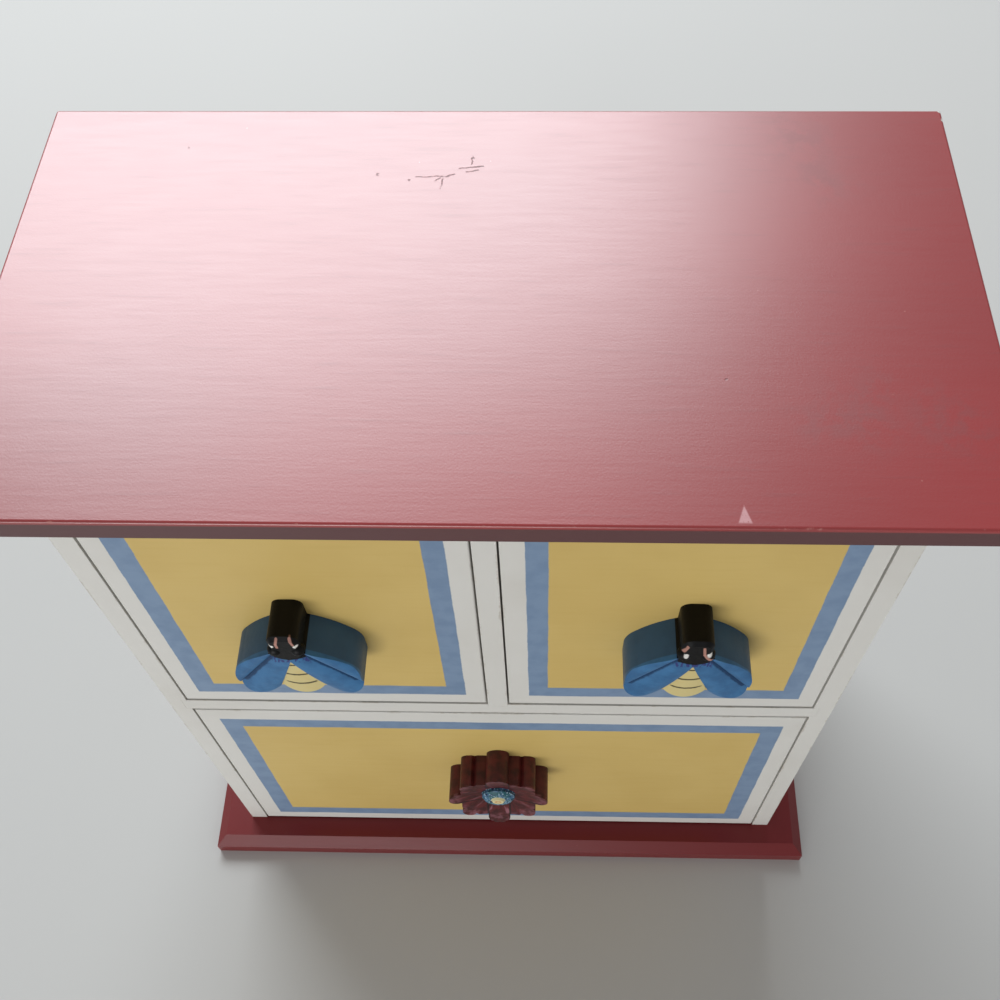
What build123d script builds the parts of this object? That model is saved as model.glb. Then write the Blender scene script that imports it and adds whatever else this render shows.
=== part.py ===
from build123d import *
import os
from math import atan2, cos, degrees, pi, radians, sin

os.makedirs("parts", exist_ok=True)

# A small painted chest for sewing things: a box of thin boards with two drawers
# side by side over one wide drawer, a bevelled base board and an overhanging top.
# Millimetres. X runs to the right, the drawers open towards -Y, Z is up.
# The origin is on the surface it stands on, under the middle of the top board.

# ---- Case ----
body_width = 240.0  # over the outer faces of the two sides
body_depth = 132.4  # from the plane of the drawer fronts to the back
side_height = 290.0  # from the base board to the top board
side_thickness = 7.0
shelf_thickness = 8.0
divider_thickness = 7.0
upper_bay_height = 146.0  # clear height over the shelf
housing_depth = 2.0  # how far the shelf and the divider are let in
housing_fit = 0.05  # room beside a board in its housing
back_thickness = 3.2
back_rabbet = 3.5  # how far the back panel is let into each side
back_fit = 0.2  # room round the edges of the back panel

top_thickness = 7.3
top_overhang = 16.0  # at the front and at both sides
top_edge_round = 0.8

base_thickness = 11.0
base_side_overhang = 15.5
base_front_overhang = 13.0
base_bevel_in = 4.5
base_bevel_down = 4.2

# ---- Fasteners of the case ----
small_round_sides = 12  # screws, dowels and their holes have so few flats
base_screw_radius = 1.6
base_screw_head_radius = 3.3
base_screw_length = 26.0
base_screws_per_side = 3
base_screw_fit = 0.1  # room round a screw
base_screw_recess = 0.4  # heads lie this far inside the underside
dowel_radius = 2.0
dowel_length = 12.0
dowel_in_top = 4.0
dowels_per_board = 3
dowel_fit = 0.05
brad_width = 1.3
brad_length = 14.0
brad_fit = 0.1  # how much wider its hole is
back_brads_per_side = 4
end_distance = 22.0  # first and last fastener from the ends of a board

# ---- Drawers ----
front_side_gap = 0.6  # beside a drawer front
front_top_gap = 1.5
front_foot_gap = 1.3
front_thickness = 9.0
front_edge_round = 0.5
corner_rabbet = 5.0  # how far a drawer side runs into the back of the front
wall_thickness = 6.0  # drawer sides and backs
wall_gap = 1.0  # between a drawer side and the case beside it
wall_drop = 8.0  # drawer sides end this far under the top of the front
drawer_rear_gap = 3.2  # between a drawer and the back panel
bottom_thickness = 3.0
bottom_height = 7.0  # underside of the bottom over the foot of the drawer sides
bottom_groove = 3.0  # depth of the groove that holds the bottom
bottom_fit = 0.1  # room over and beside the bottom in its groove
brads_per_corner = 2

# ---- Knob screws ----
knob_screw_radius = 2.0
knob_screw_length = 17.0  # under the head
knob_screw_head_radius = 3.9
knob_screw_head_height = 2.4
knob_screw_clearance = 0.35  # round the screw in the drawer front
knob_thread_fit = 0.05  # round the screw in the knob

# ---- Bee knobs, measured from the axis of the screw ----
left_bee_x = -60.8
right_bee_x = 62.0
bee_z = 219.0
left_bee_turn = 1.5  # degrees, seen from the front, the head to the left
right_bee_turn = -1.5
bee_half_span = 19.9
bee_head_top = 17.8
bee_foot = 22.3  # from the screw down to the lowest point of the wings
bee_depth = 13.5
bee_head_half = 4.8
bee_chin = 3.4  # from the screw up to the lower end of the head
bee_wing_lap = 0.8  # how far each wing reaches past the middle, under the head
bee_head_round = 3.2
bee_face_bevel = 1.2
bee_eye_radius = 2.3
bee_eye_spread = 3.5
bee_eye_height = 9.0
bee_eye_bulge = 0.9  # how far an eye stands out of the face
bee_wing_crease = 1.5  # depth of the crease between fore wing and hind wing
bee_wing_edge = 1.6  # how much lower a wing is along its edges
bee_tail_half = 6.9
bee_tail_depth = 13.0  # along the middle of the tail
bee_tail_edge = 1.2  # how much lower the tail is along its edges

# ---- Flower knob, measured from the axis of the screw ----
flower_x = -1.8
flower_z = 85.0
flower_top_reach = 22.0  # tips of the upper and the lower petal
flower_side_reach = 20.0  # tips of the two level petals
flower_petal_width = 9.0
flower_slant_half_width = 15.0  # half the block that the four slanted petals make
flower_slant_half_height = 15.4
flower_slant_round = 3.6
flower_depth = 15.8
flower_dish_floor = 11.0  # depth of the face beside the centre disc
flower_dish_rim = 14.0  # depth of the face at the tips
flower_lean = 3.5  # degrees that the dished face is turned to look upwards
flower_disc_radius = 6.6
flower_disc_depth = 13.6
flower_disc_round = 1.3
flower_button_radius = 2.8
flower_button_height = 0.8
flower_groove_place = 9.4  # ruffles: a groove in each side of each slanted petal
flower_groove_width = 2.2
flower_rib_width = 1.3  # the lowest petal has three narrower ones round its tip

# ---- Planes and heights that follow from these ----
top_width = body_width + 2 * top_overhang
top_depth = body_depth + top_overhang
back_y = top_depth / 2
front_y = back_y - body_depth
back_panel_y = back_y - back_thickness
inner_half = body_width / 2 - side_thickness
case_top = base_thickness + side_height
shelf_top = case_top - upper_bay_height
shelf_foot = shelf_top - shelf_thickness
base_front = front_y - base_front_overhang
side_middle = (body_width - side_thickness) / 2
rabbet_middle = inner_half + back_rabbet / 2


def spread(first, last, count):
    """Evenly spaced places from first to last."""
    return [first + (last - first) * i / (count - 1) for i in range(count)]


def block(low, high, mode=Mode.ADD):
    """A squared block between two corners, in the piece being built."""
    with BuildSketch(Plane.XY.offset(low[2])) as outline:
        with Locations(((low[0] + high[0]) / 2, (low[1] + high[1]) / 2)):
            Rectangle(high[0] - low[0], high[1] - low[1])
    extrude(outline.sketch, amount=high[2] - low[2], mode=mode)


def rod(start, direction, radius, length, mode=Mode.ADD):
    """A screw's shank or a dowel, or with SUBTRACT its hole, in the piece being built."""
    with BuildSketch(Plane(origin=start, z_dir=direction)) as outline:
        RegularPolygon(radius, small_round_sides)
    extrude(outline.sketch, amount=length, mode=mode)


def brad(start, direction, width, length, mode=Mode.ADD):
    """A square brad, or with SUBTRACT its hole, in the piece being built."""
    with BuildSketch(Plane(origin=start, z_dir=direction)) as outline:
        Rectangle(width, width)
    extrude(outline.sketch, amount=length, mode=mode)


def countersink(place, wide, narrow, mode=Mode.ADD):
    """A small cone that narrows upwards from its place, in the piece being built."""
    with BuildSketch(Plane(origin=place)) as outline:
        RegularPolygon(wide, small_round_sides)
    slope = degrees(atan2(cos(pi / small_round_sides), 1))
    extrude(outline.sketch, amount=wide - narrow, taper=slope, mode=mode)


def write(piece, label):
    piece.label = label
    export_step(piece, f"parts/{label}.step")


along_depth = spread(front_y + end_distance, back_panel_y - end_distance, base_screws_per_side)
base_screw_places = [(x, y) for x in (-side_middle, side_middle) for y in along_depth]
dowel_ys = spread(front_y + end_distance, back_panel_y - end_distance, dowels_per_board)
back_brad_zs = spread(base_thickness + end_distance, case_top - end_distance, back_brads_per_side)

# ---- Base board: bevelled along the front and both sides ----
with BuildPart() as base_board:
    base_width = body_width + 2 * base_side_overhang
    block((-base_width / 2, base_front, 0), (base_width / 2, back_y, base_thickness))
    upper_face = base_board.faces().sort_by(Axis.Z)[-1]
    bevelled = upper_face.edges().sort_by(Axis.Y)[:-1]
    chamfer(bevelled, length=base_bevel_in, length2=base_bevel_down, reference=upper_face)
    for x, y in base_screw_places:
        hole = base_screw_radius + base_screw_fit
        mouth = base_screw_head_radius + base_screw_recess + base_screw_fit
        countersink((x, y, 0), mouth, hole, mode=Mode.SUBTRACT)
        rod((x, y, 0), (0, 0, 1), hole, base_thickness, mode=Mode.SUBTRACT)
write(base_board.part, "base_board")

with BuildPart() as base_screws:
    for x, y in base_screw_places:
        head = (x, y, base_screw_recess)
        countersink(head, base_screw_head_radius, base_screw_radius)
        rod(head, (0, 0, 1), base_screw_radius, base_screw_length)
write(base_screws.part, "base_screws")


# ---- Sides, with the housing for the shelf and the rabbet for the back panel ----
def case_side(label, hand):
    """One side board: hand is -1 for the left and 1 for the right."""

    def between(near, far):
        return (near, far) if hand > 0 else (-far, -near)

    with BuildPart() as side:
        x_low, x_high = between(inner_half, body_width / 2)
        block((x_low, front_y, base_thickness), (x_high, back_y, case_top))
        x_low, x_high = between(inner_half, inner_half + housing_depth)
        block(
            (x_low, front_y, shelf_foot - housing_fit),
            (x_high, back_panel_y, shelf_top + housing_fit),
            mode=Mode.SUBTRACT,
        )
        x_low, x_high = between(inner_half, inner_half + back_rabbet)
        block((x_low, back_panel_y, base_thickness), (x_high, back_y, case_top), mode=Mode.SUBTRACT)
        pilot = base_screw_radius + base_screw_fit
        for y in along_depth:
            start = (hand * side_middle, y, base_thickness)
            depth = base_screw_length + base_screw_recess - base_thickness
            rod(start, (0, 0, 1), pilot, depth, mode=Mode.SUBTRACT)
        for y in dowel_ys:
            start = (hand * side_middle, y, case_top)
            rod(start, (0, 0, -1), dowel_radius + dowel_fit, dowel_length - dowel_in_top, mode=Mode.SUBTRACT)
        for z in back_brad_zs:
            start = (hand * rabbet_middle, back_panel_y, z)
            brad(start, (0, -1, 0), brad_width + brad_fit, brad_length - back_thickness, mode=Mode.SUBTRACT)
    write(side.part, label)


case_side("left_side", -1)
case_side("right_side", 1)

# ---- Shelf, let into both sides, with a housing for the divider ----
with BuildPart() as shelf:
    reach = inner_half + housing_depth - housing_fit
    block((-reach, front_y, shelf_foot), (reach, back_panel_y, shelf_top))
    slot_half = divider_thickness / 2 + housing_fit
    block(
        (-slot_half, front_y, shelf_top - housing_depth),
        (slot_half, back_panel_y, shelf_top),
        mode=Mode.SUBTRACT,
    )
write(shelf.part, "shelf")

# ---- Divider between the two upper drawers ----
with BuildPart() as divider:
    half = divider_thickness / 2
    block((-half, front_y, shelf_top - housing_depth), (half, back_panel_y, case_top))
    for y in dowel_ys:
        depth = dowel_length - dowel_in_top
        rod((0, y, case_top), (0, 0, -1), dowel_radius + dowel_fit, depth, mode=Mode.SUBTRACT)
write(divider.part, "divider")

# ---- Thin back panel and the brads that hold it ----
with BuildPart() as back_panel:
    reach = inner_half + back_rabbet - back_fit
    block((-reach, back_panel_y, base_thickness + back_fit), (reach, back_y, case_top - back_fit))
    for x in (-rabbet_middle, rabbet_middle):
        for z in back_brad_zs:
            brad((x, back_y, z), (0, -1, 0), brad_width + brad_fit, back_thickness, mode=Mode.SUBTRACT)
write(back_panel.part, "back_panel")

with BuildPart() as back_brads:
    for x in (-rabbet_middle, rabbet_middle):
        for z in back_brad_zs:
            brad((x, back_y, z), (0, -1, 0), brad_width, brad_length)
write(back_brads.part, "back_brads")

# ---- Top board, its upper edges eased, with blind holes for the dowels ----
with BuildPart() as top_board:
    block((-top_width / 2, -top_depth / 2, case_top), (top_width / 2, back_y, case_top + top_thickness))
    fillet(top_board.faces().sort_by(Axis.Z)[-1].edges(), radius=top_edge_round)
    for x in (-side_middle, 0, side_middle):
        for y in dowel_ys:
            rod((x, y, case_top), (0, 0, 1), dowel_radius + dowel_fit, dowel_in_top, mode=Mode.SUBTRACT)
write(top_board.part, "top_board")

with BuildPart() as top_dowels:
    for x in (-side_middle, 0, side_middle):
        for y in dowel_ys:
            rod((x, y, case_top + dowel_in_top), (0, 0, -1), dowel_radius, dowel_length)
write(top_dowels.part, "top_dowels")


# ---- One drawer box ----
def drawer(name, bay_left, bay_right, bay_foot, bay_top, knob_x, knob_z):
    """The pieces of one drawer that fills the bay between these four planes."""
    front_left, front_right = bay_left + front_side_gap, bay_right - front_side_gap
    front_foot, front_top = bay_foot + front_foot_gap, bay_top - front_top_gap
    outer_left, outer_right = bay_left + wall_gap, bay_right - wall_gap
    inner_left, inner_right = outer_left + wall_thickness, outer_right - wall_thickness
    inside_y = front_y + front_thickness
    wall_start = inside_y - corner_rabbet
    wall_end = back_panel_y - drawer_rear_gap
    wall_top = front_top - wall_drop
    bottom_foot = bay_foot + bottom_height
    bottom_top = bottom_foot + bottom_thickness
    groove_top = bottom_top + bottom_fit
    corner_y = inside_y - corner_rabbet / 2
    rear_y = wall_end - wall_thickness / 2
    brad_zs = spread(bay_foot + end_distance, wall_top - end_distance, brads_per_corner)
    brad_hole = brad_width + brad_fit

    with BuildPart() as front:
        block((front_left, front_y, front_foot), (front_right, inside_y, front_top))
        fillet(front.faces().sort_by(Axis.Y)[0].edges(), radius=front_edge_round)
        for low, high in ((front_left, inner_left), (inner_right, front_right)):
            block((low, wall_start, front_foot), (high, inside_y, front_top), mode=Mode.SUBTRACT)
        groove_y = inside_y - bottom_groove
        block((inner_left, groove_y, bottom_foot), (inner_right, inside_y, groove_top), mode=Mode.SUBTRACT)
        hole = knob_screw_radius + knob_screw_clearance
        rod((knob_x, inside_y, knob_z), (0, -1, 0), hole, front_thickness, mode=Mode.SUBTRACT)
        for z in brad_zs:
            depth = brad_length - wall_thickness
            brad((inner_left, corner_y, z), (1, 0, 0), brad_hole, depth, mode=Mode.SUBTRACT)
            brad((inner_right, corner_y, z), (-1, 0, 0), brad_hole, depth, mode=Mode.SUBTRACT)
    write(front.part, f"{name}_front")

    for hand, low, high in (("left", outer_left, inner_left), ("right", inner_right, outer_right)):
        with BuildPart() as wall:
            block((low, wall_start, bay_foot), (high, wall_end, wall_top))
            groove_low = inner_left - bottom_groove if hand == "left" else inner_right
            groove_high = inner_left if hand == "left" else inner_right + bottom_groove
            block(
                (groove_low, wall_start, bottom_foot),
                (groove_high, wall_end, groove_top),
                mode=Mode.SUBTRACT,
            )
            for y in (corner_y, rear_y):
                for z in brad_zs:
                    brad((low, y, z), (1, 0, 0), brad_hole, wall_thickness, mode=Mode.SUBTRACT)
        write(wall.part, f"{name}_{hand}_wall")

    with BuildPart() as rear:
        block((inner_left, wall_end - wall_thickness, bottom_top), (inner_right, wall_end, wall_top))
        for z in brad_zs:
            depth = brad_length - wall_thickness
            brad((inner_left, rear_y, z), (1, 0, 0), brad_hole, depth, mode=Mode.SUBTRACT)
            brad((inner_right, rear_y, z), (-1, 0, 0), brad_hole, depth, mode=Mode.SUBTRACT)
    write(rear.part, f"{name}_rear_wall")

    with BuildPart() as bottom:
        tongue = bottom_groove - bottom_fit
        block(
            (inner_left - tongue, inside_y - tongue, bottom_foot),
            (inner_right + tongue, wall_end, bottom_top),
        )
    write(bottom.part, f"{name}_bottom")

    with BuildPart() as brads:
        for y in (corner_y, rear_y):
            for z in brad_zs:
                brad((outer_left, y, z), (1, 0, 0), brad_width, brad_length)
                brad((outer_right, y, z), (-1, 0, 0), brad_width, brad_length)
    write(brads.part, f"{name}_brads")

    with BuildPart() as screw:
        with BuildSketch(Plane(origin=(knob_x, inside_y, knob_z), z_dir=(0, 1, 0))):
            RegularPolygon(knob_screw_head_radius, 2 * small_round_sides)
        extrude(amount=knob_screw_head_height)
        chamfer(screw.faces().sort_by(Axis.Y)[-1].edges(), length=0.3 * knob_screw_head_height)
        rod((knob_x, inside_y, knob_z), (0, -1, 0), knob_screw_radius, knob_screw_length)
    write(screw.part, f"{name}_knob_screw")


half = divider_thickness / 2
drawer("left_drawer", -inner_half, -half, shelf_top, case_top, left_bee_x, bee_z)
drawer("right_drawer", half, inner_half, shelf_top, case_top, right_bee_x, bee_z)
drawer("lower_drawer", -inner_half, inner_half, base_thickness, shelf_foot, flower_x, flower_z)


def knob_face(x, z, turn=0.0):
    """The plane on a drawer front that a knob is sculpted on; its normal points out."""
    level = (cos(radians(turn)), 0, sin(radians(turn)))
    return Plane(origin=(x, front_y, z), x_dir=level, z_dir=(0, -1, 0))


def screw_hole(face):
    """The blind hole for the screw, in the back of the knob being built."""
    depth = knob_screw_length - front_thickness
    rod(face.origin, face.z_dir, knob_screw_radius + knob_thread_fit, depth, mode=Mode.SUBTRACT)


# ---- Bee knob: two creased wings, a crowned tail and a tall rounded head ----
def bee_wing(face):
    """The left wing: its outline, cut to two long humps that meet in a crease."""
    span, drop = bee_half_span, bee_foot
    root = (-0.23 * span, 0.47 * bee_head_top)
    shoulder = (-0.82 * span, -0.05 * drop)
    flank = (-0.995 * span, -0.42 * drop)
    flank_end = (-0.99 * span, -0.70 * drop)
    foot = (-0.60 * span, -drop)
    heel = (-0.33 * span, -0.72 * drop)
    tip = (bee_wing_lap, bee_chin + bee_wing_lap)
    with BuildPart() as wing:
        with BuildSketch(face):
            with BuildLine():
                ThreePointArc(root, (-0.52 * span, 0.27 * bee_head_top), shoulder)
                ThreePointArc(shoulder, (-0.93 * span, -0.19 * drop), flank)
                Line(flank, flank_end)
                ThreePointArc(flank_end, (-0.87 * span, -0.93 * drop), foot)
                ThreePointArc(foot, (-0.44 * span, -0.91 * drop), heel)
                Polyline(heel, tip, root)
            make_face()
        extrude(amount=bee_depth)
        start = face.from_local_coords((-0.15 * span, 0.44 * bee_head_top, 0))
        end = face.from_local_coords((-0.90 * span, -0.60 * drop, 0))
        along = end - start
        across = Plane(origin=start - along, x_dir=along.cross(face.z_dir), z_dir=along)
        out = 1 if across.y_dir.dot(face.z_dir) > 0 else -1
        upper, lower = 0.32 * span, -0.62 * span
        with BuildSketch(across) as humps:
            with BuildLine():
                edge, ridge = out * (bee_depth - bee_wing_edge), out * bee_depth
                crease = (0, out * (bee_depth - bee_wing_crease))
                Polyline((lower, edge), (lower, -out), (upper, -out), (upper, edge))
                ThreePointArc((upper, edge), (0.45 * upper, ridge), crease)
                ThreePointArc(crease, (0.45 * lower, ridge), (lower, edge))
            make_face()
        extrude(humps.sketch, amount=3 * along.length, mode=Mode.INTERSECT)
    return wing.part


def bee_tail(face):
    """The tail: a fan with a round foot, crowned from side to side."""
    hip = 0.83 * bee_foot
    with BuildPart() as tail:
        with BuildSketch(face):
            with BuildLine():
                Polyline((-bee_tail_half, -hip), (0, bee_chin + 1), (bee_tail_half, -hip))
                ThreePointArc((bee_tail_half, -hip), (0, -1.02 * bee_foot), (-bee_tail_half, -hip))
            make_face()
        extrude(amount=bee_tail_depth)
        low = face.from_local_coords((0, -2 * bee_foot, 0))
        with BuildSketch(Plane(origin=low, x_dir=face.x_dir, z_dir=face.y_dir)) as crown:
            with BuildLine():
                half, edge = 1.05 * bee_tail_half, bee_tail_edge - bee_tail_depth
                Polyline((-half, edge), (-half, 1), (half, 1), (half, edge))
                ThreePointArc((half, edge), (0, -bee_tail_depth), (-half, edge))
            make_face()
        extrude(crown.sketch, amount=4 * bee_foot, mode=Mode.INTERSECT)
    return tail.part


def bee_head(face):
    """The tall head: rounded at its top, bevelled round its face, with two bulging eyes."""
    with BuildPart() as head:
        with BuildSketch(face):
            with Locations((0, (bee_head_top + bee_chin) / 2)):
                RectangleRounded(2 * bee_head_half, bee_head_top - bee_chin, bee_head_round)
        extrude(amount=bee_depth)
        chamfer(head.faces().sort_by(Axis.Y)[0].edges(), length=bee_face_bevel)
        for hand in (-1, 1):
            eye = (hand * bee_eye_spread, bee_eye_height, bee_depth + bee_eye_bulge - bee_eye_radius)
            with Locations(face.from_local_coords(eye)):
                Sphere(bee_eye_radius)
    return head.part


def bee(label, x, turn):
    face = knob_face(x, bee_z, turn)
    wing, tail, head = bee_wing(face), bee_tail(face), bee_head(face)
    with BuildPart() as knob:
        add(tail)
        add(wing)
        mirror(wing, about=Plane(origin=face.origin, z_dir=face.x_dir))
        add(head)
        screw_hole(face)
    write(knob.part, label)


bee("left_bee_knob", left_bee_x, left_bee_turn)
bee("right_bee_knob", right_bee_x, right_bee_turn)

# ---- Flower knob: eight petals with a dished face round a domed disc ----
with BuildPart() as flower:
    face = knob_face(flower_x, flower_z)
    with BuildSketch(face):
        RectangleRounded(2 * flower_slant_half_width, 2 * flower_slant_half_height, flower_slant_round)
        half = flower_petal_width / 2
        for reach, turn in ((flower_side_reach, 0), (flower_top_reach, 90)):
            SlotOverall(2 * reach, flower_petal_width, rotation=turn)
        for across, up in (
            (flower_groove_place, flower_slant_half_height),
            (flower_slant_half_width, flower_groove_place),
        ):
            with GridLocations(2 * across, 2 * up, 2, 2):
                RegularPolygon(flower_groove_width / 2, 4, mode=Mode.SUBTRACT)
        with Locations((0, half - flower_top_reach)):
            with PolarLocations(half, 3, start_angle=-130, angular_range=80, endpoint=True):
                RegularPolygon(flower_rib_width / 2, 4, mode=Mode.SUBTRACT)
    extrude(amount=flower_depth)
    lean = radians(flower_lean)
    outward = Vector(0, -cos(lean), sin(lean))
    dish = Plane(origin=face.origin, x_dir=(1, 0, 0), z_dir=Vector(1, 0, 0).cross(outward))
    with BuildSketch(dish):
        with BuildLine():
            far = 2 * flower_top_reach
            rise = (flower_dish_rim - flower_dish_floor) / (flower_side_reach - flower_disc_radius)
            far_depth = flower_dish_floor + rise * (far - flower_disc_radius)
            Polyline(
                (0, flower_dish_floor),
                (flower_disc_radius, flower_dish_floor),
                (far, far_depth),
                (far, far_depth + far),
                (0, far_depth + far),
                close=True,
            )
        make_face()
    revolve(axis=Axis(face.origin, outward), mode=Mode.SUBTRACT)
    with BuildSketch(dish):
        with BuildLine():
            seat = flower_dish_floor - 1
            button_top = flower_disc_depth + flower_button_height
            Polyline(
                (0, seat),
                (flower_disc_radius, seat),
                (flower_disc_radius, flower_disc_depth - flower_disc_round),
                (flower_disc_radius - flower_disc_round, flower_disc_depth),
                (flower_button_radius, flower_disc_depth),
                (0.8 * flower_button_radius, button_top),
                (0, button_top),
                close=True,
            )
        make_face()
    revolve(axis=Axis(face.origin, outward))
    screw_hole(face)
write(flower.part, "flower_knob")
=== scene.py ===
"""The looks of a small painted chest for sewing things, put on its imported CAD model.

Every CAD node keeps its shape and gets a procedural paint, wood or steel. Sizes inside a
material are in millimetres, in the frame of the model: X to the right, the drawers open
towards -Y, Z up. Paint colours are written as sRGB, 0 to 255. The floor, the lamps and the
camera are placed in metres.
"""
import math
from functools import reduce

import bpy
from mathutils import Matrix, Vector


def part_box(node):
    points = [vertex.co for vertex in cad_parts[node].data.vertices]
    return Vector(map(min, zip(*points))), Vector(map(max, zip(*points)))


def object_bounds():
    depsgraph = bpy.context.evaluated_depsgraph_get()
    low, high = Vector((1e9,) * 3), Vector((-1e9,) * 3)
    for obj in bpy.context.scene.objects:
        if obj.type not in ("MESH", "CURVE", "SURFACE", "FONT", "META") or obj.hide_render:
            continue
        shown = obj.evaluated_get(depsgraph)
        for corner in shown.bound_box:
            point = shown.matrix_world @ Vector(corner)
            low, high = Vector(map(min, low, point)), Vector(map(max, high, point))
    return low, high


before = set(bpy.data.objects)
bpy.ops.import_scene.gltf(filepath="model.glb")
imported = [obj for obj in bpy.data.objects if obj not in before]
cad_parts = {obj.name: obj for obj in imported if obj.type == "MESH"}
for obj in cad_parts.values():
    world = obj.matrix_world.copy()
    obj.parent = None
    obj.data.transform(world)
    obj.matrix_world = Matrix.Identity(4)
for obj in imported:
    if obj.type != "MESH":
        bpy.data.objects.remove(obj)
cad_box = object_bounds()
MM = 1000
FRONT_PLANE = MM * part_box("left_drawer_front")[0].y  # y of the faces of all drawer fronts

# ---- The photograph's camera, solved from the straight edges of the chest ----
CAMERA_PLACE = (0.01829, -0.21365, 0.54518)
CAMERA_TURN = (31.8326, 0.9737, 1.1909)  # degrees
CAMERA_FOCAL = 1150.07  # in pixels of the 1000 pixel wide photograph
CAMERA_MIDDLE_X = 521.25  # pixel that the camera points at, left to right
PHOTO_WIDTH = 1000
SENSOR_WIDTH = 36

# ---- Light: a window behind the chest, a low fill in front of it and a plain sky ----
WINDOW_WAY = (-0.23, 0.73, 0.64)  # from the middle of the top towards the window
WINDOW_FAR = 1.8  # times that
WINDOW_SIZE = (1.5, 0.85)
WINDOW_WATTS = 40
WINDOW_COLOUR = (0.90, 0.96, 1.0)
FILL_PLACE = (-0.45, -1.8, 0.2)
FILL_AIM = (0, 0, 0.15)
FILL_SIZE = (1.0, 0.6)
FILL_WATTS = 17
FILL_COLOUR = (1, 1, 1)
SKY_COLOUR = (0.96, 0.98, 1.0, 1)
SKY_STRENGTH = 0.36
FLOOR_RADIUS = 6
FLOOR_SIDES = 96

# ---- Colours ----
RED = (158, 35, 36)
RED_DARK = (108, 26, 30)
RED_SHADED = (116, 30, 32)
RED_SIDE_SHADE = (60, 11, 17)
RED_WORN = (186, 112, 104)
SCRATCH_DARK = (62, 18, 22)
PINK = (214, 158, 160)
WHITE = (219, 217, 211)
WHITE_GRIMY = (184, 176, 162)
YELLOW = (212, 183, 110)
YELLOW_DEEP = (201, 170, 96)
BLUE = (124, 147, 175)
BLUE_DEEP = (108, 132, 162)
WING_BLUE = (66, 118, 164)
WING_BLUE_DEEP = (56, 102, 146)
WING_SIDE_SHADE = (58, 86, 112)
CREASE_SHADE_BLUE = (20, 54, 92)
HEAD_BLACK = (5, 5, 6)
RUFF_VIOLET = (52, 48, 112)
EYE_BROWN = (190, 140, 126)
EYE_WHITE = (242, 240, 234)
TAIL_CREAM = (214, 198, 140)
STRIPE_BLACK = (40, 34, 24)
MAROON = (92, 28, 30)
MAROON_DARK = (58, 15, 17)
MAROON_OVERLAP_SHADE = (26, 7, 9)
MAROON_PALE = (150, 96, 106)
DISC_BLUE = (74, 116, 148)
DISC_TEAL = (40, 96, 104)
DISC_PALE = (164, 192, 208)
DISC_NIGHT = (22, 38, 72)
BUTTON_CREAM = (222, 210, 160)
BUTTON_ORANGE = (204, 142, 88)
PINE = (216, 180, 134)
PINE_DARK = (192, 148, 102)
PLY = (205, 168, 122)
PLY_DARK = (182, 140, 96)
BACK_PLY = (184, 146, 106)
BACK_PLY_DARK = (164, 125, 87)
DOWEL = (208, 172, 122)
STEEL = (188, 188, 184)
STEEL_DULL = (140, 138, 132)
FLOOR = (197, 195, 192)
FLOOR_DEEP = (192, 190, 187)


def linear(colour):
    """An sRGB colour, 0 to 255, as the linear RGBA that a node takes."""
    def one(c):
        c /= 255
        return c / 12.92 if c <= 0.04045 else ((c + 0.055) / 1.055) ** 2.4
    return tuple(one(c) for c in colour) + (1.0,)


# ---- Numbers and colours that a material works out at each point ----
class Value:
    """A number that nodes work out; it adds, subtracts and multiplies like a plain one."""

    def __init__(self, paint, socket):
        self.paint, self.socket = paint, socket

    def do(self, operation, *others):
        node = self.paint.new("ShaderNodeMath", operation=operation)
        for i, value in enumerate((self, *others)):
            self.paint.feed(node.inputs[i], value)
        return Value(self.paint, node.outputs[0])

    def __add__(self, other):
        return self.do("ADD", other)

    def __sub__(self, other):
        return self.do("SUBTRACT", other)

    def __mul__(self, other):
        return self.do("MULTIPLY", other)

    def __rsub__(self, other):
        return (self * -1) + other

    __radd__ = __add__
    __rmul__ = __mul__

    def __abs__(self):
        return self.do("ABSOLUTE")

    def least(self, other):
        return self.do("MINIMUM", other)

    def most(self, other):
        return self.do("MAXIMUM", other)


def any_of(masks):
    """The largest of several masks at each point."""
    return reduce(Value.most, masks)


def distance(u, v):
    """How far a point is from the origin of the plane of two values."""
    return (u * u + v * v).do("SQRT")


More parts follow.
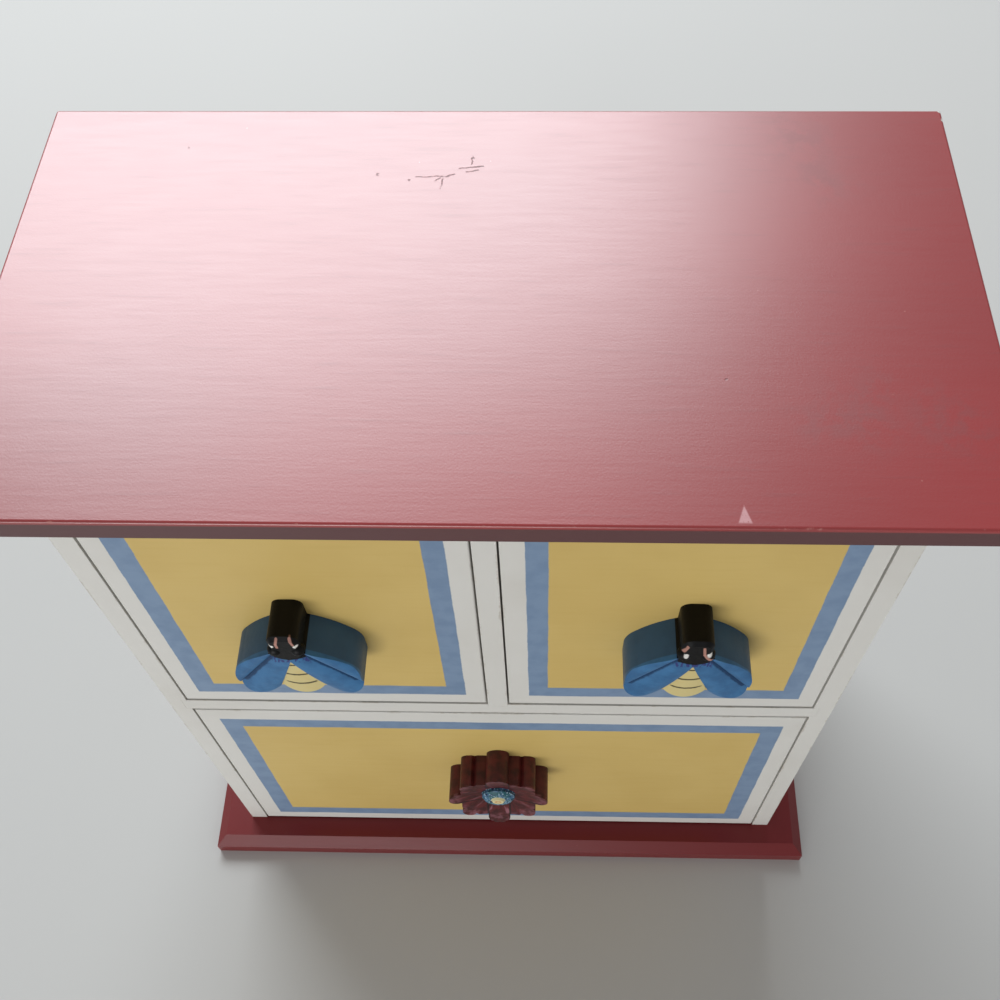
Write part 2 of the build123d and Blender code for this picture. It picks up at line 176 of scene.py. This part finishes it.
class Paint:
    """One material being mixed, with the place on the model in millimetres as x, y and z."""

    def __init__(self, name, **shader):
        self.material = bpy.data.materials.new(name)
        self.material.use_nodes = True
        self.tree = self.material.node_tree
        self.shader = self.tree.nodes["Principled BSDF"]
        for socket, value in shader.items():
            self.shader.inputs[socket.replace("_", " ")].default_value = value
        where = self.new("ShaderNodeTexCoord")
        grown = self.new("ShaderNodeVectorMath", operation="SCALE")
        grown.inputs["Scale"].default_value = MM
        self.tree.links.new(where.outputs["Object"], grown.inputs[0])
        self.place = grown.outputs[0]
        apart = self.new("ShaderNodeSeparateXYZ")
        self.tree.links.new(self.place, apart.inputs[0])
        self.x, self.y, self.z = (Value(self, out) for out in apart.outputs)

    def new(self, kind, **settings):
        node = self.tree.nodes.new(kind)
        for name, value in settings.items():
            setattr(node, name, value)
        return node

    def feed(self, socket, value):
        """Links a node's output or a value to the socket, or sets it to a plain number."""
        if isinstance(value, Value):
            value = value.socket
        if isinstance(value, bpy.types.NodeSocket):
            self.tree.links.new(value, socket)
        else:
            socket.default_value = value

    def at(self, x, y, z):
        """A vector of three numbers or values."""
        node = self.new("ShaderNodeCombineXYZ")
        for socket, value in zip(node.inputs, (x, y, z)):
            self.feed(socket, value)
        return node.outputs[0]

    def stretched(self, x=1, y=1, z=1):
        """The place with its axes shortened, so that a pattern is drawn out along them."""
        return self.at(self.x * x, self.y * y, self.z * z)

    def noise(self, size, detail=2, rough=0.5, place=None, warp=0.0):
        """Cloudy noise, 0 to 1, its features about size across."""
        node = self.new("ShaderNodeTexNoise")
        self.feed(node.inputs["Vector"], place or self.place)
        settings = {"Scale": 1 / size, "Detail": detail, "Roughness": rough, "Distortion": warp}
        for name, value in settings.items():
            node.inputs[name].default_value = value
        return Value(self, node.outputs["Fac"])

    def shaken(self, value, size, reach, **settings):
        """The value moved to and fro by noise, over reach in all."""
        return value + (self.noise(size, **settings) - 0.5) * reach

    def specks(self, spacing, size):
        """1 in small round specks, one for each cell about spacing across."""
        node = self.new("ShaderNodeTexVoronoi")
        self.feed(node.inputs["Vector"], self.place)
        node.inputs["Scale"].default_value = 1 / spacing
        away = Value(self, node.outputs["Distance"])
        return self.ramp(away, size / spacing, 0.6 * size / spacing)

    def ramp(self, value, start, end):
        """0 before start and 1 past end, with a smooth step between; end may be the lower one."""
        node = self.new("ShaderNodeMapRange", interpolation_type="SMOOTHSTEP")
        for socket, number in zip(node.inputs, (value, start, end)):
            self.feed(socket, number)
        return Value(self, node.outputs[0])

    def mix(self, share, first, second):
        """The first colour, or the second as share goes from 0 to 1."""
        node = self.new("ShaderNodeMix", data_type="RGBA")
        inputs = [s for s in node.inputs if s.enabled]
        self.feed(inputs[0], share)
        for socket, colour in zip(inputs[1:], (first, second)):
            self.feed(socket, linear(colour) if isinstance(colour, tuple) else colour)
        return next(s for s in node.outputs if s.enabled)

    def edge(self, node):
        """How far the place is from the nearest edge of that node's box."""
        low, high = (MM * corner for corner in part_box(node))
        a, b, c = (
            (value - near).least(far - value)
            for value, near, far in zip((self.x, self.y, self.z), low, high)
        )
        return a.least(b).most(a.most(b).least(c))

    def worn_edge(self, node, size, reach, start, end):
        """1 along the edges of the node's box, in a ragged line."""
        return self.ramp(self.edge(node) + self.noise(size, detail=4, rough=0.7) * reach, start, end)

    def stroke(self, start, end, width, across):
        """1 on a thin straight mark between two points of the plane of two values."""
        u, v = across
        run = Vector(end) - Vector(start)
        along = ((u - start[0]) * run.x + (v - start[1]) * run.y) * (1 / run.length_squared)
        along = along.most(0.0).least(1.0)
        away = distance(u - start[0] - along * run.x, v - start[1] - along * run.y)
        return self.ramp(away, 0.5 * width, 0.25 * width)

    def spot(self, place, radius, across, soft=0.3):
        """1 inside a round spot in the plane of two values."""
        away = distance(across[0] - place[0], across[1] - place[1])
        return self.ramp(away, radius * (1 + soft), radius * (1 - soft))

    def done(self, colour, roughness, height=None, depth=0.0):
        """Ends the material: colour, roughness, and a height of up to depth millimetres."""
        self.feed(self.shader.inputs["Base Color"], colour)
        self.feed(self.shader.inputs["Roughness"], roughness)
        if height is not None:
            bump = self.new("ShaderNodeBump")
            bump.inputs["Strength"].default_value = 1.0
            bump.inputs["Distance"].default_value = depth / MM
            self.feed(bump.inputs["Height"], height)
            self.feed(self.shader.inputs["Normal"], bump.outputs[0])
        return self.material


def dress(node, material):
    """Gives a CAD node its material, in each of its slots."""
    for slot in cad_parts[node].material_slots:
        slot.material = material


# ---- Red board: satin paint with brush grain along the board, worn along its edges ----
RED_COAT = 0.24  # clear coat, as a share of the shine
RED_COAT_ROUGH = 0.36
RED_RELIEF = 0.035
SCRATCHES = (  # start, end and width on the top board
    ((-22.0, 44.9), (-12.5, 45.2), 0.5),
    ((-14.0, 45.0), (-14.6, 40.0), 0.5),
    ((-14.6, 44.6), (-16.4, 42.8), 0.4),
    ((-9.5, 48.6), (-2.5, 49.4), 0.5),
    ((-7.5, 47.3), (-4.0, 48.0), 0.5),
    ((-6.0, 50.0), (-5.5, 54.0), 0.4),
    ((-13.5, 45.2), (-11.0, 46.0), 0.4),
)
PITS = (  # place and radius
    ((-33.5, 46.0), 0.6),
    ((-24.0, 43.5), 0.4),
    ((-91.8, 57.2), 0.4),
    ((-5.6, 53.0), 0.5),
    ((63.2, -29.5), 0.4),
)
SMUDGES = (((90.9, 61.7), 10.0), ((99.0, 46.0), 8.0), ((93.8, -42.0), 11.0), ((118.0, -44.0), 10.0))
CHIPS = (((135.9, 73.9), 1.1), ((135.8, 69.7), 0.6), ((-135.9, 73.6), 0.6))
RUB_MARK = ((64.9, -72.6), 3.4, 5.0)  # middle of its front side, width and length
SIDE_START, SIDE_END = 0.8, 1.6  # under the upper face of the top, where the painted shade on its sides begins


def red_paint(node, light, dark, shine, used=None):
    """Red satin paint; used, if given, adds the marks of a board's use to it."""
    coat = dict(Coat_Weight=RED_COAT * shine, Coat_Roughness=RED_COAT_ROUGH)
    p = Paint(f"{node}_paint", Specular_IOR_Level=shine, **coat)
    broad = p.noise(110, detail=1)
    grain = p.noise(1.6, detail=3, rough=0.6, place=p.stretched(x=0.09))
    fine = p.noise(0.6, detail=2)
    colour = p.mix(p.ramp(broad, 0.3, 0.75) * 0.3, light, dark)
    colour = p.mix(p.ramp(grain, 0.55, 0.8) * 0.2, colour, dark)
    worn = p.worn_edge(node, size=7, reach=5.0, start=2.3, end=1.8)
    colour = p.mix(worn * 0.7, colour, RED_WORN)
    dust = p.specks(11, 0.3) * p.ramp(p.noise(25), 0.45, 0.6)
    colour = p.mix(dust * 0.5, colour, RED_WORN)
    rough = 0.35 + (grain - 0.5) * 0.07 + (fine - 0.5) * 0.04 + worn * 0.25
    height = grain * 0.6 + fine * 0.5
    if used:
        colour, rough, height = used(p, node, colour, rough, height)
    return p.done(colour, rough, height, depth=RED_RELIEF)


def used_top(p, node, colour, rough, height):
    """The scratches, pits, smudges, chips and rub mark of the top board, and the painted shade on
    its sides.
    """
    top = (p.shaken(p.x, 4, 1.6), p.shaken(p.y, 4.1, 1.6))
    marks = any_of(
        [p.stroke(start, end, width, top) for start, end, width in SCRATCHES]
        + [p.spot(place, radius, top) for place, radius in PITS]
    )
    marks = marks * p.ramp(p.noise(1.1, detail=2), 0.25, 0.6)
    colour = p.mix(marks * 0.7, colour, SCRATCH_DARK)

    drift = (p.shaken(p.x, 18, 26), p.shaken(p.y, 18.5, 26))
    smudge = any_of([p.spot(place, radius, drift, soft=0.8) for place, radius in SMUDGES])
    smudge = smudge * p.ramp(p.noise(5, detail=4, rough=0.65), 0.4, 0.6)
    colour = p.mix(smudge * 0.3, colour, RED_DARK)

    chipped = (p.shaken(p.x, 1.5, 2), p.shaken(p.y, 1.6, 2))
    for place, radius in CHIPS:
        colour = p.mix(p.spot(place, radius, chipped), colour, WHITE)
    colour = p.mix(rub_mark(p) * 0.75, colour, PINK)

    # painted shade: the upright sides of the top board darkened to a deep red
    side = p.ramp(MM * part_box(node)[1].z - p.z, SIDE_START, SIDE_END)
    colour = p.mix(side * 0.9, colour, RED_SIDE_SHADE)
    rough = rough + smudge * 0.07 + marks * 0.25 + side * 0.25
    return colour, rough, height - marks * 1.5


def rub_mark(p):
    """1 on the pale three-cornered mark near the front edge of the top, its point to the back."""
    (x, y), width, length = RUB_MARK
    along = p.y - y
    half = (length - along) * (0.5 * width / length)
    inside = p.ramp(half - abs(p.x - x), -0.2, 0.3)
    return inside * p.ramp(along, -0.4, 0.4) * p.ramp(p.noise(0.9, detail=2), 0.2, 0.4)


# ---- White case boards ----
WHITE_WEAR = dict(size=9, reach=4.0, start=2.2, end=1.6)  # grime along their edges


def white_paint(node):
    p = Paint(f"{node}_paint", Specular_IOR_Level=0.4)
    broad = p.noise(60, detail=3)
    grain = p.noise(2.0, detail=3, rough=0.6, place=p.stretched(z=0.08))
    colour = p.mix(p.ramp(broad, 0.45, 0.9) * 0.3, WHITE, WHITE_GRIMY)
    colour = p.mix(p.worn_edge(node, **WHITE_WEAR) * 0.6, colour, WHITE_GRIMY)
    return p.done(colour, 0.46 + (grain - 0.5) * 0.15, grain, depth=0.05)


# ---- Drawer fronts: a white border, a blue band and a yellow field ----
BORDERS = {  # to the blue band and to the yellow field, from the left, right, foot and top edges
    "left_drawer_front": ((6.4, 6.8, 7.3, 7.3), (13.5, 13.4, 14.7, 14.7)),
    "right_drawer_front": ((7.2, 6.5, 7.3, 7.3), (13.8, 13.0, 14.7, 14.7)),
    "lower_drawer_front": ((7.3, 6.9, 7.2, 8.7), (14.4, 14.4, 14.9, 16.0)),
}
BORDER_SOFT = 0.15  # half the width over which one paint gives way to the next
FRONT_ROUND = 0.5  # the eased front edge, which is painted with the face
BACK_BARE = 0.3  # the back of a front is bare wood up to this far round its edge
PAINT_STEP = 0.1  # how soon the paint changes round an edge


def front_paint(node):
    p = Paint(f"{node}_paint", Specular_IOR_Level=0.4)
    low, high = (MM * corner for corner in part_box(node))
    waver = (p.noise(14, detail=3) - 0.5) * 0.8 + (p.noise(1.2) - 0.5) * 0.25

    def inside(margins):
        left, right, foot, top = margins
        nearest = (p.x - low.x - left).least(high.x - right - p.x)
        nearest = nearest.least(p.z - low.z - foot).least(high.z - top - p.z)
        return p.ramp(nearest + waver, -BORDER_SOFT, BORDER_SOFT)

    in_blue, in_yellow = (inside(margins) for margins in BORDERS[node])
    grain = p.noise(1.8, detail=3, rough=0.6, place=p.stretched(x=0.08))
    cloud = p.noise(35, detail=3)
    blue = p.mix(p.ramp(p.noise(6, detail=3), 0.35, 0.7) * 0.6, BLUE, BLUE_DEEP)
    yellow = p.mix(p.ramp(cloud, 0.35, 0.7) * 0.4, YELLOW, YELLOW_DEEP)
    yellow = p.mix(p.ramp(grain, 0.5, 0.8) * 0.2, yellow, YELLOW_DEEP)
    white = p.mix(p.ramp(cloud, 0.45, 0.9) * 0.3, WHITE, WHITE_GRIMY)
    white = p.mix(p.worn_edge(node, **WHITE_WEAR) * 0.5, white, WHITE_GRIMY)
    colour = p.mix(in_yellow, p.mix(in_blue, white, blue), yellow)
    behind = p.y - low.y
    colour = p.mix(p.ramp(behind, FRONT_ROUND, FRONT_ROUND + PAINT_STEP), colour, white)
    bare_from = high.y - low.y - BACK_BARE
    bare = p.ramp(behind, bare_from - PAINT_STEP, bare_from)
    wood_grain = p.noise(3.0, detail=4, rough=0.6, place=p.stretched(x=0.05))
    colour = p.mix(bare, colour, p.mix(p.ramp(wood_grain, 0.4, 0.7), PINE, PINE_DARK))
    rough = 0.48 + (grain - 0.5) * 0.15 + bare * 0.2
    ridge = in_blue * 0.5 + in_yellow * 0.5
    return p.done(colour, rough, grain * 0.6 + ridge * 0.5, depth=0.06)


# ---- Bare wood, its grain along one axis ----
GRAIN_STRETCH = 0.035  # the grain's width as a share of its length


def bare_wood(name, along, light, dark, ring=3.5):
    p = Paint(name, Specular_IOR_Level=0.3)
    short = {along: GRAIN_STRETCH}
    rings = p.noise(ring, detail=4, rough=0.55, place=p.stretched(**short), warp=0.4)
    pores = p.noise(0.5, detail=2, place=p.stretched(**short))
    tone = p.noise(60, detail=2)
    colour = p.mix(p.ramp(rings, 0.38, 0.68), light, dark)
    colour = p.mix(p.ramp(pores, 0.6, 0.8) * 0.35, colour, dark)
    colour = p.mix(p.ramp(tone, 0.4, 0.8) * 0.25, colour, dark)
    rough = 0.62 + (pores - 0.5) * 0.15
    return p.done(colour, rough, rings * 0.5 + pores * 0.5, depth=0.05)


def steel(name):
    p = Paint(name, Metallic=1.0)
    cloud = p.noise(1.5, detail=3)
    colour = p.mix(p.ramp(cloud, 0.3, 0.8) * 0.4, STEEL, STEEL_DULL)
    return p.done(colour, 0.32 + cloud * 0.15, p.noise(0.4), depth=0.01)


# ---- Knobs, painted round the axis of the screw that holds them ----
def screw_axis(screw):
    low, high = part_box(screw)
    middle = (low + high) * (MM / 2)
    return middle.x, middle.z


# Sizes of a bee, across and up from its screw, and depths in front of the drawer's front
BEE_TURN = 1.5  # degrees; the left one's head leans to the left, the right one's to the right
BEE_HALF_SPAN = 19.9
BEE_HEAD_TOP = 17.8
BEE_FOOT = 22.3  # from the screw down to the lowest point of the wings
BEE_CHIN = 3.4
BEE_HEAD_HALF = 4.8
BEE_EYE = (3.5, 9.0)
BEE_EYE_RADIUS = 2.3
BEE_FACE_DEPTH = 13.5
BEE_WING_RIM = 12.0  # depth where the sides of the wings end and their faces begin
BEE_WING_LAP = 0.8  # how far each wing reaches past the middle, under the head
BEE_TIP = (-BEE_WING_LAP, BEE_CHIN + BEE_WING_LAP)  # the inner edge of a wing runs from here
BEE_HEEL = (0.33 * BEE_HALF_SPAN, -0.72 * BEE_FOOT)  # to here, beside the tail
CREASE_HEAD = (0.15 * BEE_HALF_SPAN, 0.44 * BEE_HEAD_TOP)  # the crease starts beside the head
CREASE_FOOT = (0.90 * BEE_HALF_SPAN, -0.60 * BEE_FOOT)  # and ends at the edge of the wing
CREASE_WIDTH = 2.6
RUFF_HALF = 5.2
STRIPES = ((-1.6, 1.9), (-8.8, 4.2), (-15.6, 5.4))  # height at the middle and half length
STRIPE_BOW = 0.035
DOT_RADIUS = 0.75
EYE_STROKE_WIDTH = 1.1
EYES = {  # white dots, and brown strokes above them
    "left_bee_knob": (
        ((-3.6, 13.2), (3.7, 12.8)),
        (((-1.9, 12.4), (-1.9, 14.6)), ((-1.9, 14.6), (-1.2, 17.2)), ((3.2, 13.9), (2.7, 17.2))),
    ),
    "right_bee_knob": (
        ((-3.2, 10.5), (3.7, 11.0)),
        (((-3.3, 15.8), (-4.3, 12.0)), ((1.6, 15.4), (2.3, 10.6)), ((2.3, 10.6), (4.5, 8.9))),
    ),
}


def bee_paint(node, screw, turn):
    """The paint of a bee that is turned by so many degrees, seen from the front."""
    p = Paint(f"{node}_paint", Specular_IOR_Level=0.2)
    x0, z0 = screw_axis(screw)
    turn = math.radians(turn)
    dx, dz = p.x - x0, p.z - z0
    across = dx * math.cos(turn) + dz * math.sin(turn)
    up = dz * math.cos(turn) - dx * math.sin(turn)
    side = abs(across)
    depth = FRONT_PLANE - p.y
    brush = p.noise(1.4, detail=3)
    unsteady = brush - 0.5

    wing = p.mix(p.ramp(p.noise(5, detail=3), 0.35, 0.7), WING_BLUE, WING_BLUE_DEEP)
    # painted shade: a darker blue band along the crease of each wing
    crease = p.stroke(CREASE_HEAD, CREASE_FOOT, CREASE_WIDTH, (side + unsteady * 1.2, up))
    wing = p.mix(crease * 0.9, wing, CREASE_SHADE_BLUE)
    # painted shade: the wings' sides and upper faces, behind their front faces, turn a darker slate
    # blue
    wing = p.mix(p.ramp(depth, BEE_WING_RIM, BEE_WING_RIM - 0.3) * 0.8, wing, WING_SIDE_SHADE)

    # the tail shows between the wings' inner edges
    slope = (BEE_HEEL[0] - BEE_TIP[0]) / (BEE_TIP[1] - BEE_HEEL[1])
    inner = BEE_TIP[0] + (BEE_TIP[1] - up) * slope

    def stripe(height, half):
        bow = up - height - across * across * STRIPE_BOW
        return p.ramp(abs(bow + unsteady * 0.6), 0.65, 0.35) * p.ramp(side, half, 0.8 * half)

    stripes = any_of([stripe(height, half) for height, half in STRIPES])
    tail = p.mix(p.ramp(p.noise(2.5), 0.4, 0.8) * 0.3, TAIL_CREAM, YELLOW)
    tail = p.mix(stripes * 0.9, tail, STRIPE_BLACK)
    in_wing = p.ramp(side - inner + unsteady * 0.3, -0.1, 0.1)
    colour = p.mix(in_wing, tail, wing)

    # short strokes of violet blue under the chin
    ruff = p.ramp(abs(up - BEE_CHIN + side * side * 0.05), 1.9, 1.1)
    ruff = ruff * p.ramp(side, RUFF_HALF + 1.2, RUFF_HALF)
    dashes = p.ramp(p.noise(0.9, detail=1, place=p.stretched(z=0.4)), 0.46, 0.54)
    colour = p.mix(ruff * dashes * 0.85, colour, RUFF_VIOLET)

    # the head, black all over, with its eyes
    from_eye = distance(side - BEE_EYE[0], up - BEE_EYE[1])
    head = p.ramp(side, BEE_HEAD_HALF + 0.25, BEE_HEAD_HALF + 0.05)
    head = head * p.ramp(up, BEE_CHIN - 0.1, BEE_CHIN + 0.3)
    head = head.most(p.ramp(from_eye, BEE_EYE_RADIUS + 0.3, BEE_EYE_RADIUS + 0.1))
    colour = p.mix(head, colour, HEAD_BLACK)
    face = p.ramp(depth, BEE_FACE_DEPTH - 2.2, BEE_FACE_DEPTH - 1.4)
    dots, strokes = EYES[node]
    for start, end in strokes:
        stroke = p.stroke(start, end, EYE_STROKE_WIDTH, (across, up))
        colour = p.mix(stroke * face * 0.85, colour, EYE_BROWN)
    for dot in dots:
        colour = p.mix(p.spot(dot, DOT_RADIUS, (across, up)) * face, colour, EYE_WHITE)
    return p.done(colour, 0.45 + unsteady * 0.2 + head * 0.05, brush, depth=0.05)


# Lean, radii and depth of the flower
FLOWER_LEAN = 3.5  # degrees that its dished face leans back
FLOWER_DISC = 6.6
FLOWER_BUTTON = 2.8
FLOWER_SEAT = 10.2  # what lies in front of this is disc or button, inside their radii
PETAL_HALF = 4.5  # half the width of the upright and the level petals


def flower_paint(node, screw):
    p = Paint(f"{node}_paint", Specular_IOR_Level=0.4)
    x0, z0 = screw_axis(screw)
    depth = FRONT_PLANE - p.y
    dx, dz = p.x - x0, p.z - z0
    # the dished face leans back a little, so its middle rises with depth
    rise = dz - depth * math.tan(math.radians(FLOWER_LEAN))
    away = distance(dx, rise)
    brush = p.noise(1.3, detail=3)

    petal = p.mix(p.ramp(p.noise(4, detail=3), 0.35, 0.7), MAROON, MAROON_DARK)
    # painted light and shade: dark and pale stripes along the ribs of the petals' fronts, the pale
    # ones strongest on the lowest petal; the ribs are also a bump
    angle = rise.do("ARCTAN2", dx)
    veins = p.noise(0.24, detail=2, place=p.at(angle, away * 0.02, 0.0))
    front = p.ramp(depth - away * 0.16, 9.0, 9.8)
    petal = p.mix(p.ramp(veins, 0.5, 0.6) * front * 0.7, petal, MAROON_DARK)
    lowest = p.ramp(rise, -9.0, -12.0) * p.ramp(abs(dx), 5.2, 4.2)
    pale = p.ramp(veins, 0.45, 0.36) * front * (lowest * 0.6 + 0.3)
    petal = p.mix(pale, petal, MAROON_PALE)
    # a paler outer part on the petals' fronts
    rim = p.ramp(p.noise(2.5, detail=3), 0.42, 0.6) * front * p.ramp(away, 14.0, 18.0)
    petal = p.mix(rim * 0.45, petal, MAROON_PALE)
    # painted shade: dark lines where the upright and the level petals lie over the slanted ones
    for along, beside in ((abs(dx), abs(rise)), (abs(rise), abs(dx))):
        line = p.ramp(abs(beside - PETAL_HALF), 0.6, 0.25) * p.ramp(along, 6.5, 8.0)
        petal = p.mix(line * front * 0.85, petal, MAROON_OVERLAP_SHADE)

    near_face = p.ramp(depth, FLOWER_SEAT - 0.6, FLOWER_SEAT)
    ring = p.ramp(away, FLOWER_DISC + 0.3, FLOWER_DISC) * near_face
    disc = p.mix(p.ramp(p.noise(2.0), 0.4, 0.6), DISC_BLUE, DISC_TEAL)
    disc = p.mix(p.ramp(p.noise(1.1), 0.55, 0.62), disc, DISC_NIGHT)
    disc = p.mix(p.specks(1.0, 0.42) * 0.85, disc, DISC_PALE)
    colour = p.mix(ring, petal, disc)
    middle = p.ramp(away, FLOWER_BUTTON + 0.25, FLOWER_BUTTON - 0.1) * near_face
    button = p.mix(p.ramp(abs(away - 1.0), 0.5, 0.25) * 0.7, BUTTON_CREAM, BUTTON_ORANGE)
    colour = p.mix(middle, colour, button)
    height = brush * 0.5 + veins * front * 0.5
    return p.done(colour, 0.48 + (brush - 0.5) * 0.2, height, depth=0.12)


# ---- Dressing every node ----
dress("top_board", red_paint("top_board", RED, RED_DARK, 1.0, used=used_top))
dress("base_board", red_paint("base_board", RED_SHADED, RED_DARK, 0.3))
for board in ("left_side", "right_side", "shelf", "divider"):
    dress(board, white_paint(board))
dress("back_panel", bare_wood("back_panel_ply", "z", BACK_PLY, BACK_PLY_DARK, ring=4.0))
dress("top_dowels", bare_wood("dowel_wood", "z", DOWEL, PINE_DARK, ring=1.5))
screw_steel, brad_steel = steel("screw_steel"), steel("brad_steel")
side_pine = bare_wood("drawer_side_pine", "y", PINE, PINE_DARK)
rear_pine = bare_wood("drawer_rear_pine", "x", PINE, PINE_DARK)
bottom_ply = bare_wood("drawer_bottom_ply", "x", PLY, PLY_DARK, ring=7.0)
dress("base_screws", screw_steel)
dress("back_brads", brad_steel)
for drawer in ("left_drawer", "right_drawer", "lower_drawer"):
    dress(f"{drawer}_front", front_paint(f"{drawer}_front"))
    dress(f"{drawer}_left_wall", side_pine)
    dress(f"{drawer}_right_wall", side_pine)
    dress(f"{drawer}_rear_wall", rear_pine)
    dress(f"{drawer}_bottom", bottom_ply)
    dress(f"{drawer}_brads", brad_steel)
    dress(f"{drawer}_knob_screw", screw_steel)
dress("left_bee_knob", bee_paint("left_bee_knob", "left_drawer_knob_screw", BEE_TURN))
dress("right_bee_knob", bee_paint("right_bee_knob", "right_drawer_knob_screw", -BEE_TURN))
dress("flower_knob", flower_paint("flower_knob", "lower_drawer_knob_screw"))


# ---- Floor, light and camera ----
def floor():
    foot = (0, 0, cad_box[0].z)
    bpy.ops.mesh.primitive_circle_add(
        vertices=FLOOR_SIDES, radius=FLOOR_RADIUS, fill_type="NGON", location=foot
    )
    plane = bpy.context.object
    plane.name = "floor"
    p = Paint("floor", Specular_IOR_Level=0.2)
    colour = p.mix(p.ramp(p.noise(300, detail=2), 0.3, 0.8) * 0.3, FLOOR, FLOOR_DEEP)
    plane.data.materials.append(p.done(colour, 0.85))


def lamp(name, place, aim, size, watts, colour):
    data = bpy.data.lights.new(name, "AREA")
    data.shape, data.size, data.size_y = "RECTANGLE", *size
    data.energy, data.color = watts, colour
    thing = bpy.data.objects.new(name, data)
    bpy.context.scene.collection.objects.link(thing)
    thing.location = place
    thing.rotation_euler = (Vector(aim) - Vector(place)).to_track_quat("-Z", "Y").to_euler()
    thing.visible_camera = False


def sky(strength, colour):
    world = bpy.data.worlds.new("studio")
    world.use_nodes = True
    background = world.node_tree.nodes["Background"]
    background.inputs["Color"].default_value = colour
    background.inputs["Strength"].default_value = strength
    bpy.context.scene.world = world


def camera():
    data = bpy.data.cameras.new("camera")
    thing = bpy.data.objects.new("camera", data)
    bpy.context.scene.collection.objects.link(thing)
    thing.location = CAMERA_PLACE
    thing.rotation_euler = [math.radians(a) for a in CAMERA_TURN]
    data.sensor_width = SENSOR_WIDTH
    data.lens = SENSOR_WIDTH * CAMERA_FOCAL / PHOTO_WIDTH
    data.shift_x = (PHOTO_WIDTH / 2 - CAMERA_MIDDLE_X) / PHOTO_WIDTH
    bpy.context.scene.camera = thing


floor()
top_middle = Vector((0, 0, cad_box[1].z))
window_place = top_middle + Vector(WINDOW_WAY) * WINDOW_FAR
lamp("window", window_place, top_middle, WINDOW_SIZE, WINDOW_WATTS, WINDOW_COLOUR)
lamp("fill", FILL_PLACE, FILL_AIM, FILL_SIZE, FILL_WATTS, FILL_COLOUR)
sky(SKY_STRENGTH, SKY_COLOUR)
camera()
bpy.context.scene.view_settings.view_transform = "Standard"
